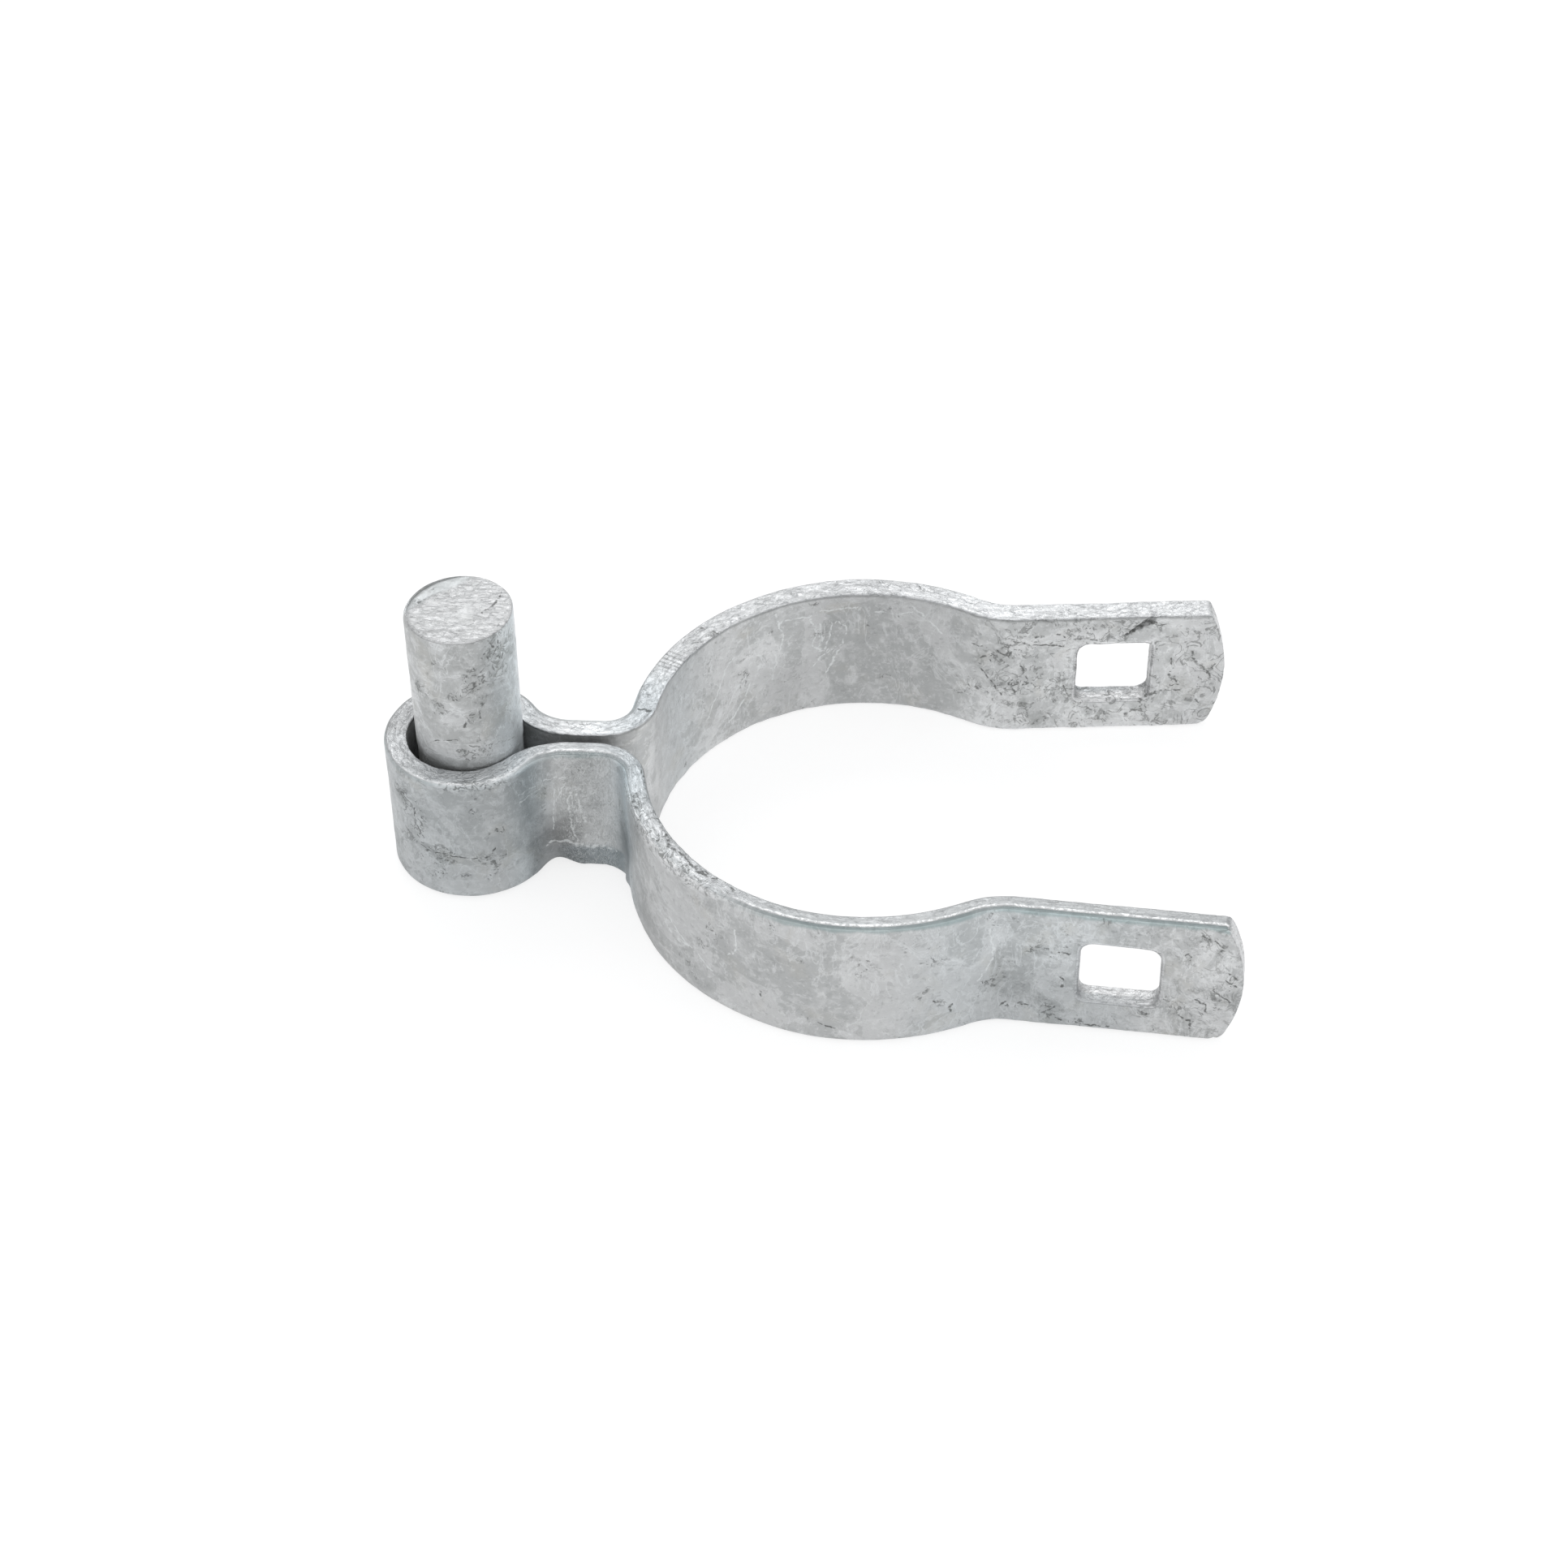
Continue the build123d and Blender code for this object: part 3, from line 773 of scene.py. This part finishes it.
def pin_heights(where, on_head):
    """How far the zinc lifts the pin's skin, and the masks of its foil and its drawn edge."""
    x, y = where[:, 0], where[:, 1]
    drawn_over = smooth(0.743 * y - 0.669 * x + 0.5 * rough(where, 2.5, 25, 2), 4.2, 4.9)
    from_spot = np.hypot((x - 1.4) / 1.5, (y + 1.2) / 2.6) + 0.3 * rough(where, 1.5, 26, 2)
    flat_spot = 1 - smooth(from_spot, 0.7, 1.1)
    sheared = on_head * (1 - 0.85 * np.maximum(drawn_over, 0.8 * flat_spot))
    lift = 0.05 * rough(where, 9.0, 21) + 0.03 * rough(where, 2.2, 22)
    lift += sheared * (0.045 * rough(where, 0.8, 23) + 0.05 * rough(where, 4.0, 24, 2))
    return lift * (0.3 + 0.7 * smooth(where[:, 2], 20.0, 24.5)), sheared, drawn_over


def pin_fields(own, turned, on_head, sheared, drawn_over):
    """What the zinc reads at each of the pin's points, from places on its own axis."""
    up, none = own[:, 2], np.zeros(len(own))
    wear = 0.42 + 0.35 * smooth(up, 34, 42) * bump_at(turned, -40, 60)
    wear[on_head] = 0.1
    for degrees_round, up_at, size in PIN_CLUSTERS:
        off = (turned - degrees_round + 180) % 360 - 180
        reach = np.hypot(radians(1) * off * PIN_RADIUS, up - up_at)
        wear += 2.0 * (1 - smooth(reach, 0.2 * size, 1.3 * size)) * ~on_head
    # Painted light on the pin's right side, lighter and cooler
    painted_light_right = bump_at(turned, -10, 65) * ~on_head
    painted_rim_light = drawn_over * smooth(up, PIN_LENGTH - 2.5, PIN_LENGTH - 0.8)
    # Painted light on the drawn-over rim of the head and just below it
    tone = np.where(on_head, 0.68 + 0.08 * drawn_over, 1.0 + 0.36 * painted_light_right + 0.05 * painted_rim_light)
    # Painted shade where the pin goes into the eye
    tone *= 1 - 0.1 * bump_at(up, 23.4, 1.8)
    dark = pin_runs(PIN_SIDE_STROKES) + level_runs(PIN_LENGTH, PIN_HEAD_STROKES)
    return {
        **dict.fromkeys(("lean", "shade", "gleam", "roll", "scuff", "comb"), none),
        "sheared": 0.85 * sheared,
        "wear": wear,
        "tone": tone[:, None] * tinted(-0.1 + 2.6 * painted_light_right + 1.2 * drawn_over),
        "strip": own,
        **stroke_fields("dark", own, dark),
        **stroke_fields("light", own, []),
    }


def make_pin(material):
    """The pin as one closed mesh: rings up its side, then rings in across its sheared head."""
    radius, angle, height, quads, fans = pin_lattice()
    own = pin_places(radius, angle, height)
    on_head = np.append(height > PIN_LENGTH - TINY, [False, True])
    lift, sheared, drawn_over = pin_heights(own, on_head)
    every = np.vstack([quads, [[*fan, fan[2]] for fan in fans]])
    own = own + point_normals(own, every) * lift[:, None]
    fields = pin_fields(own, np.append(np.degrees(angle), [0, 0]), on_head, sheared, drawn_over)
    return make_piece("dressed_pin", own + (PIN_X, 0, 0), quads.tolist() + fans, material, fields)


class Nodes:
    """Short ways to add nodes to a material or to the world."""

    def __init__(self, owner):
        owner.use_nodes = True
        self.tree = owner.node_tree
        self.tree.nodes.clear()

    def add(self, kind, inputs=None, **settings):
        node = self.tree.nodes.new("ShaderNode" + kind)
        for key, value in settings.items():
            setattr(node, key, value)
        for key, value in (inputs or {}).items():
            socket = node.inputs[key]
            if isinstance(value, bpy.types.NodeSocket):
                self.tree.links.new(value, socket)
            else:
                socket.default_value = value
        return node

    def field(self, name, output="Fac"):
        return self.add("Attribute", attribute_name=name).outputs[output]

    def math(self, operation, a, b=0.0):
        return self.add("Math", {0: a, 1: b}, operation=operation).outputs[0]

    def times(self, a, b):
        return self.math("MULTIPLY", a, b)

    def plus(self, a, b):
        return self.math("ADD", a, b)

    def most(self, a, b):
        return self.math("MAXIMUM", a, b)

    def total(self, start, *parts):
        """A start with masks added to it, each by an amount of its own."""
        for mask, amount in parts:
            start = self.plus(start, self.times(mask, amount))
        return start

    def step(self, value, low, high, to_low=0.0, to_high=1.0):
        ranged = {"Value": value, "From Min": low, "From Max": high, "To Min": to_low, "To Max": to_high}
        return self.add("MapRange", ranged, interpolation_type="SMOOTHSTEP").outputs[0]

    def vector(self, operation, a, b, output=0):
        return self.add("VectorMath", {0: a, 1: b}, operation=operation).outputs[output]

    def scaled(self, vector, by):
        return self.vector("MULTIPLY", vector, by)

    def mix(self, share, a, b):
        a, b = (c if isinstance(c, bpy.types.NodeSocket) else (*c, 1.0) for c in (a, b))
        return self.add("Mix", {0: share, 6: a, 7: b}, data_type="RGBA").outputs[2]

    def stain(self, colour, tint, mask, amount):
        """A colour with an amount of a tint where a mask is 1."""
        return self.mix(self.times(mask, amount), colour, tint)

    def cloud(self, vector, size, detail, roughness, distortion, seed):
        inputs = {
            "Vector": self.vector("ADD", vector, (seed, seed * 1.7, -seed)),
            "Scale": 1.0 / size,
            "Detail": detail,
            "Roughness": roughness,
            "Distortion": distortion,
        }
        return self.add("TexNoise", inputs).outputs["Fac"]

    def strokes(self, name, jitter):
        """1 on a set's thin strokes, from the way to the nearest of them, and 0 away from them."""
        way = self.vector("ADD", self.field(name + "_way", "Vector"), jitter)
        off = self.vector("LENGTH", way, (0, 0, 0), "Value")
        near = self.step(self.field(name + "_gap"), 3.2, 4.6, 1.0, 0.0)
        return self.times(self.step(off, 0.35, 1.0, 1.0, 0.0), near)

    def contour(self, cloud, level, width):
        """A thin line where a cloud crosses a level: 1 on it and 0 away from it."""
        off = self.math("ABSOLUTE", self.math("SUBTRACT", cloud, level))
        return self.step(off, 0.0, width, 1.0, 0.0)


def toned(colour, factor):
    """A colour made lighter or darker by a factor."""
    return tuple(part * factor for part in colour)


def mottle(n, place, strip, broad, cloudy, fine, light, dark, seed):
    """The zinc's own colour: broad patches, then smaller mottles, streaks, flecks and dull spots."""
    streaked = n.cloud(n.scaled(strip, (0.5, 1, 1)), 1.3, 6, 0.66, 0.6, seed + 7)
    warm = (dark[0] * 1.12, dark[1] * 1.07, dark[2] * 0.98)
    colour = n.mix(n.step(broad, 0.46, 0.54), dark, light)
    for cloud, levels, tint in (
        (cloudy, (0.48, 0.66, 0.0, 0.50), toned(light, 1.18)),
        (cloudy, (0.32, 0.44, 0.40, 0.0), toned(dark, 0.80)),
        (streaked, (0.55, 0.66, 0.0, 0.35), toned(light, 1.22)),
        (fine, (0.30, 0.44, 0.35, 0.0), toned(dark, 0.72)),
        (n.cloud(place, 6.0, 3, 0.5, 0.5, seed + 11), (0.55, 0.75, 0.0, 0.35), warm),
        (n.cloud(place, 1.0, 6, 0.7, 0.4, seed + 9), (0.54, 0.60, 0.0, 0.42), toned(light, 1.22)),
        (n.cloud(place, 1.4, 6, 0.7, 0.8, seed + 10), (0.38, 0.45, 0.42, 0.0), toned(dark, 0.78)),
    ):
        colour = n.mix(n.step(cloud, *levels), colour, tint)
    return colour


def zinc(name, light, dark, seed):
    """Hot dip zinc: patches, veins, dark pits and wrinkles, strokes, foil-like sheared faces, painted
    shade under the edges and a painted highlight along the rolled edge.
    """
    material = bpy.data.materials.new(name)
    n = Nodes(material)
    place = n.scaled(n.add("TexCoord").outputs["Object"], [1 / METRES] * 3)
    strip, tone = n.field("strip", "Vector"), n.field("tone", "Vector")
    sheared, wear, shade, lean = (n.field(key) for key in ("sheared", "wear", "shade", "lean"))
    gleam, roll, scuff, comb = (n.field(key) for key in ("gleam", "roll", "scuff", "comb"))
    along, through, height = n.add("SeparateXYZ", {0: strip}).outputs
    bare = n.math("SUBTRACT", 1.0, sheared)

    broad = n.plus(n.cloud(place, 14.0, 8, 0.60, 0.7, seed), lean)
    cloudy = n.cloud(place, 3.4, 8, 0.68, 0.5, seed + 3)
    fine = n.cloud(place, 0.5, 5, 0.75, 0.2, seed + 5)
    colour = mottle(n, place, strip, broad, cloudy, fine, light, dark, seed)

    # Light veins, and the die's scuffs on the neck
    upright = n.scaled(strip, (1.0, 1.0, 0.45))
    vein_zone = n.step(n.cloud(place, 13.0, 2, 0.5, 0.3, seed + 13), 0.46, 0.54)
    vein = n.contour(n.cloud(upright, 5.0, 5, 0.58, 1.3, seed + 17), 0.5, 0.022)
    vein = n.most(n.times(vein, n.most(vein_zone, scuff)), n.contour(broad, 0.515, 0.008))
    jumbled = n.add("TexNoise", {"Vector": place, "Scale": 0.9, "Detail": 4.0})
    jitter = n.vector("SUBTRACT", jumbled.outputs["Color"], (0.5, 0.5, 0.5))
    jitter = n.scaled(jitter, (4.8, 4.8, 4.8))
    drawn = n.strokes("light", jitter)
    vein = n.times(n.most(n.times(vein, 0.6), drawn), bare)
    colour = n.stain(colour, VEIN_GREY, vein, 0.8)
    scraped = n.cloud(n.scaled(strip, (1.4, 1, 0.7)), 1.5, 3, 0.6, 2.5, seed + 18)
    colour = n.stain(colour, SCRAPED_GREY, n.times(n.contour(scraped, 0.41, 0.05), scuff), 0.5)
    scratch = n.times(n.contour(scraped, 0.5, 0.03), scuff)

    # The painted shade on the rolled outer edge, a dark blue band in place of the darker surroundings it
    # reflects, and the foil of the sheared faces
    past = n.plus(through, n.math("SUBTRACT", roll, HALF_THICK))
    foil = n.cloud(n.scaled(strip, (0.55, 1.2, 1.2)), 0.8, 4, 0.65, 1.2, seed + 41)
    wander = n.cloud(n.scaled(strip, (0.3, 1, 0)), 1.6, 4, 0.6, 0.3, seed + 37)
    # Painted shade: a dark blue band on the outer roll in place of the darker surroundings it reflects
    upper = n.step(n.plus(height, n.times(wander, 1.8)), 23.1, 23.8)
    painted_edge_shade = n.times(n.times(upper, n.step(past, 0.36, 0.6)), shade)
    colour = n.stain(colour, PAINTED_EDGE_SHADE_BLUE, painted_edge_shade, 0.62)
    foil_colour = n.mix(n.step(foil, 0.35, 0.53), FOIL_DARK, FOIL_LIGHT)
    colour = n.stain(colour, foil_colour, sheared, 0.88)

    # Dark pits, wrinkles, placed strokes, and a dark line of painted shade under the burr
    clumps = n.cloud(place, 4.5, 4, 0.6, 0.5, seed + 19)
    specks = n.cloud(place, 0.75, 4, 0.62, 1.0, seed + 23)
    pits = n.times(n.step(specks, 0.54, 0.60), n.step(n.plus(clumps, n.times(wear, 0.13)), 0.60, 0.74))
    colour = n.stain(colour, FLECK_GREY, n.times(n.step(specks, 0.56, 0.64), sheared), 0.45)
    wrinkle = n.contour(n.cloud(place, 3.1, 4, 0.5, 1.7, seed + 29), 0.5, 0.046)
    broken = n.step(n.cloud(place, 2.2, 2, 0.5, 0.0, seed + 31), 0.46, 0.53)
    wrinkle = n.times(wrinkle, n.times(broken, n.step(wear, 0.30, 0.85)))
    # Painted shade: a dark line under the burr on the far half's inner wall
    painted_burr_shade = n.times(n.contour(n.plus(height, wander), 23.2, 0.34), shade)
    painted_burr_shade = n.times(painted_burr_shade, n.step(through, INNER, INNER + 0.1, 1.0, 0.0))
    dirt_and_burr_shade = n.most(n.times(pits, 0.8), n.times(wrinkle, 0.7))
    dirt_and_burr_shade = n.most(n.most(dirt_and_burr_shade, n.strokes("dark", jitter)), n.times(painted_burr_shade, 0.7))
    smudge = n.times(n.step(wear, 0.9, 1.8, 0.0, 0.45), n.step(cloudy, 0.4, 0.6, 1.0, 0.4))
    colour = n.stain(n.mix(smudge, colour, SMUDGE_GREY), PIT_AND_BURR_SHADE_GREY, dirt_and_burr_shade, 0.85)

    # The shear's tooth marks, the tone of each stretch, the light scratches, and the painted highlight
    # along the rolled edge
    tooth = n.math("SINE", n.plus(n.times(along, 7.4), n.times(foil, 3.0)))
    tooth = n.times(n.step(tooth, 0.3, 0.9), comb)
    colour = n.scaled(n.stain(colour, TOOTH_GREY, tooth, 0.55), tone)
    bright = n.times(n.most(n.times(drawn, 0.48), n.times(scratch, 0.5)), bare)
    colour = n.mix(bright, colour, SCRATCH_GREY)
    # Painted highlight: a light line along the rolled outer edge
    painted_highlight = n.times(n.contour(n.plus(past, n.times(foil, 0.5)), 0.38, 0.36), gleam)
    painted_highlight = n.times(n.times(painted_highlight, n.step(height, 22.9, 23.1)), n.step(specks, 0.40, 0.56, 1.0, 0.35))
    colour = n.mix(painted_highlight, colour, PAINTED_HIGHLIGHT_GREY)

    gloss = n.total(n.step(cloudy, 0.3, 0.7, 0.52, 0.40), (dirt_and_burr_shade, 0.25), (sheared, -0.12), (painted_highlight, -0.1))
    waves = [(fine, 0.05), (n.times(foil, sheared), 0.6), (dirt_and_burr_shade, -0.14), (vein, 0.04), (tooth, -0.12)]
    relief = n.total(n.times(cloudy, 0.22), *waves)
    bump = n.add("Bump", {"Strength": 0.8, "Distance": 0.0006, "Height": relief})
    shader = {"Base Color": colour, "Roughness": n.most(gloss, 0.22), "Metallic": 0.8}
    surface = n.add("BsdfPrincipled", {**shader, "Normal": bump.outputs[0]})
    n.add("OutputMaterial", {"Surface": surface.outputs[0]})
    return material


def seen_plain(n):
    """1 for what the camera sees, straight or in gloss or through a clear thing, and 0 elsewhere."""
    path = n.add("LightPath").outputs
    return n.most(n.most(path["Is Camera Ray"], path["Is Glossy Ray"]), path["Is Transmission Ray"])


def make_floor():
    """A plain pale floor that reads white to the camera and in the zinc, and keeps the shadow."""
    material = bpy.data.materials.new("pale_floor")
    n = Nodes(material)
    plain = n.add("BsdfDiffuse", {"Color": (0.80, 0.80, 0.80, 1)}).outputs[0]
    soft = n.add("BsdfDiffuse", {"Color": (0.33, 0.33, 0.33, 1)}).outputs[0]
    glow = n.add("Emission", {"Color": (1, 1, 1, 1), "Strength": 0.74}).outputs[0]
    shown = n.add("AddShader", {0: soft, 1: glow}).outputs[0]
    mixed = n.add("MixShader", {0: seen_plain(n), 1: plain, 2: shown})
    n.add("OutputMaterial", {"Surface": mixed.outputs[0]})
    bpy.ops.mesh.primitive_plane_add(size=FLOOR_SIZE, location=(0, 0, -FLOOR_DROP))
    floor = bpy.context.object
    floor.name = "floor"
    floor.data.materials.append(material)


def make_world():
    """Soft light from all round, and a white backdrop for what the camera and the zinc see."""
    world = bpy.data.worlds.new("studio")
    bpy.context.scene.world = world
    n = Nodes(world)
    soft = n.add("Background", {"Color": (0.97, 0.985, 1, 1), "Strength": 0.72}).outputs[0]
    white = n.add("Background", {"Color": (1, 1, 1, 1), "Strength": 1.0}).outputs[0]
    mixed = n.add("MixShader", {0: seen_plain(n), 1: soft, 2: white})
    n.add("OutputWorld", {"Surface": mixed.outputs[0]})


def soft_lamp(name, place, target, size, power):
    """A square studio lamp aimed at a point, in metres and watts."""
    data = bpy.data.lights.new(name, "AREA")
    data.shape = "SQUARE"
    data.size = size
    data.energy = power
    lamp = place_object(name, data)
    lamp.location = place
    lamp.rotation_euler = (Vector(target) - Vector(place)).to_track_quat("-Z", "Y").to_euler()


def make_camera():
    """The photograph's camera, from its height, turn, roll, distance and focal length."""
    height, turn, roll = radians(43.472), radians(3.616), radians(0.665)
    distance, focal_pixels, picture = 541.1, 4276.2, 1932.0
    aim = Vector((-13.322, 15.491, 0.0))
    back = Vector((sin(turn) * cos(height), -cos(turn) * cos(height), sin(height)))
    right = (-back).cross(Vector((0, 0, 1))).normalized()
    down = (-back).cross(right)
    across = right * cos(roll) + down * sin(roll)
    lower = down * cos(roll) - right * sin(roll)
    data = bpy.data.cameras.new("camera")
    data.sensor_width = 36.0
    data.lens = focal_pixels / picture * data.sensor_width
    data.clip_start, data.clip_end = 0.01, 20.0
    camera = place_object("camera", data)
    spot = (aim + back * distance) * METRES
    axes = Matrix((across, -lower, back)).transposed()
    camera.matrix_world = Matrix.Translation(spot) @ axes.to_4x4()
    bpy.context.scene.camera = camera


bpy.context.scene.view_settings.view_transform = "Standard"
make_camera()
make_floor()
make_world()
soft_lamp("back_softbox", (-0.15, 0.95, 0.75), (0, 0, 0.02), 0.9, 5.0)
soft_lamp("front_softbox", (0.1, -0.65, 0.85), (0, 0, 0.01), 0.36, 1.6)
soft_lamp("left_softbox", (-0.9, -0.1, 0.55), (0, 0, 0.02), 0.5, 0.8)
soft_lamp("right_softbox", (0.9, -0.15, 0.5), (0, 0, 0.02), 0.5, 0.8)

strap_zinc = zinc("strap_zinc", (0.60, 0.61, 0.615), (0.49, 0.502, 0.505), 0.0)
pin_zinc = zinc("pin_zinc", (0.548, 0.558, 0.563), (0.446, 0.456, 0.456), 90.0)
strap = make_strap(strap_zinc)
pin = make_pin(pin_zinc)
for piece, node in ((strap, "hinge_strap"), (pin, "hinge_pin")):
    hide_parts(node)
    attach(piece, "root")
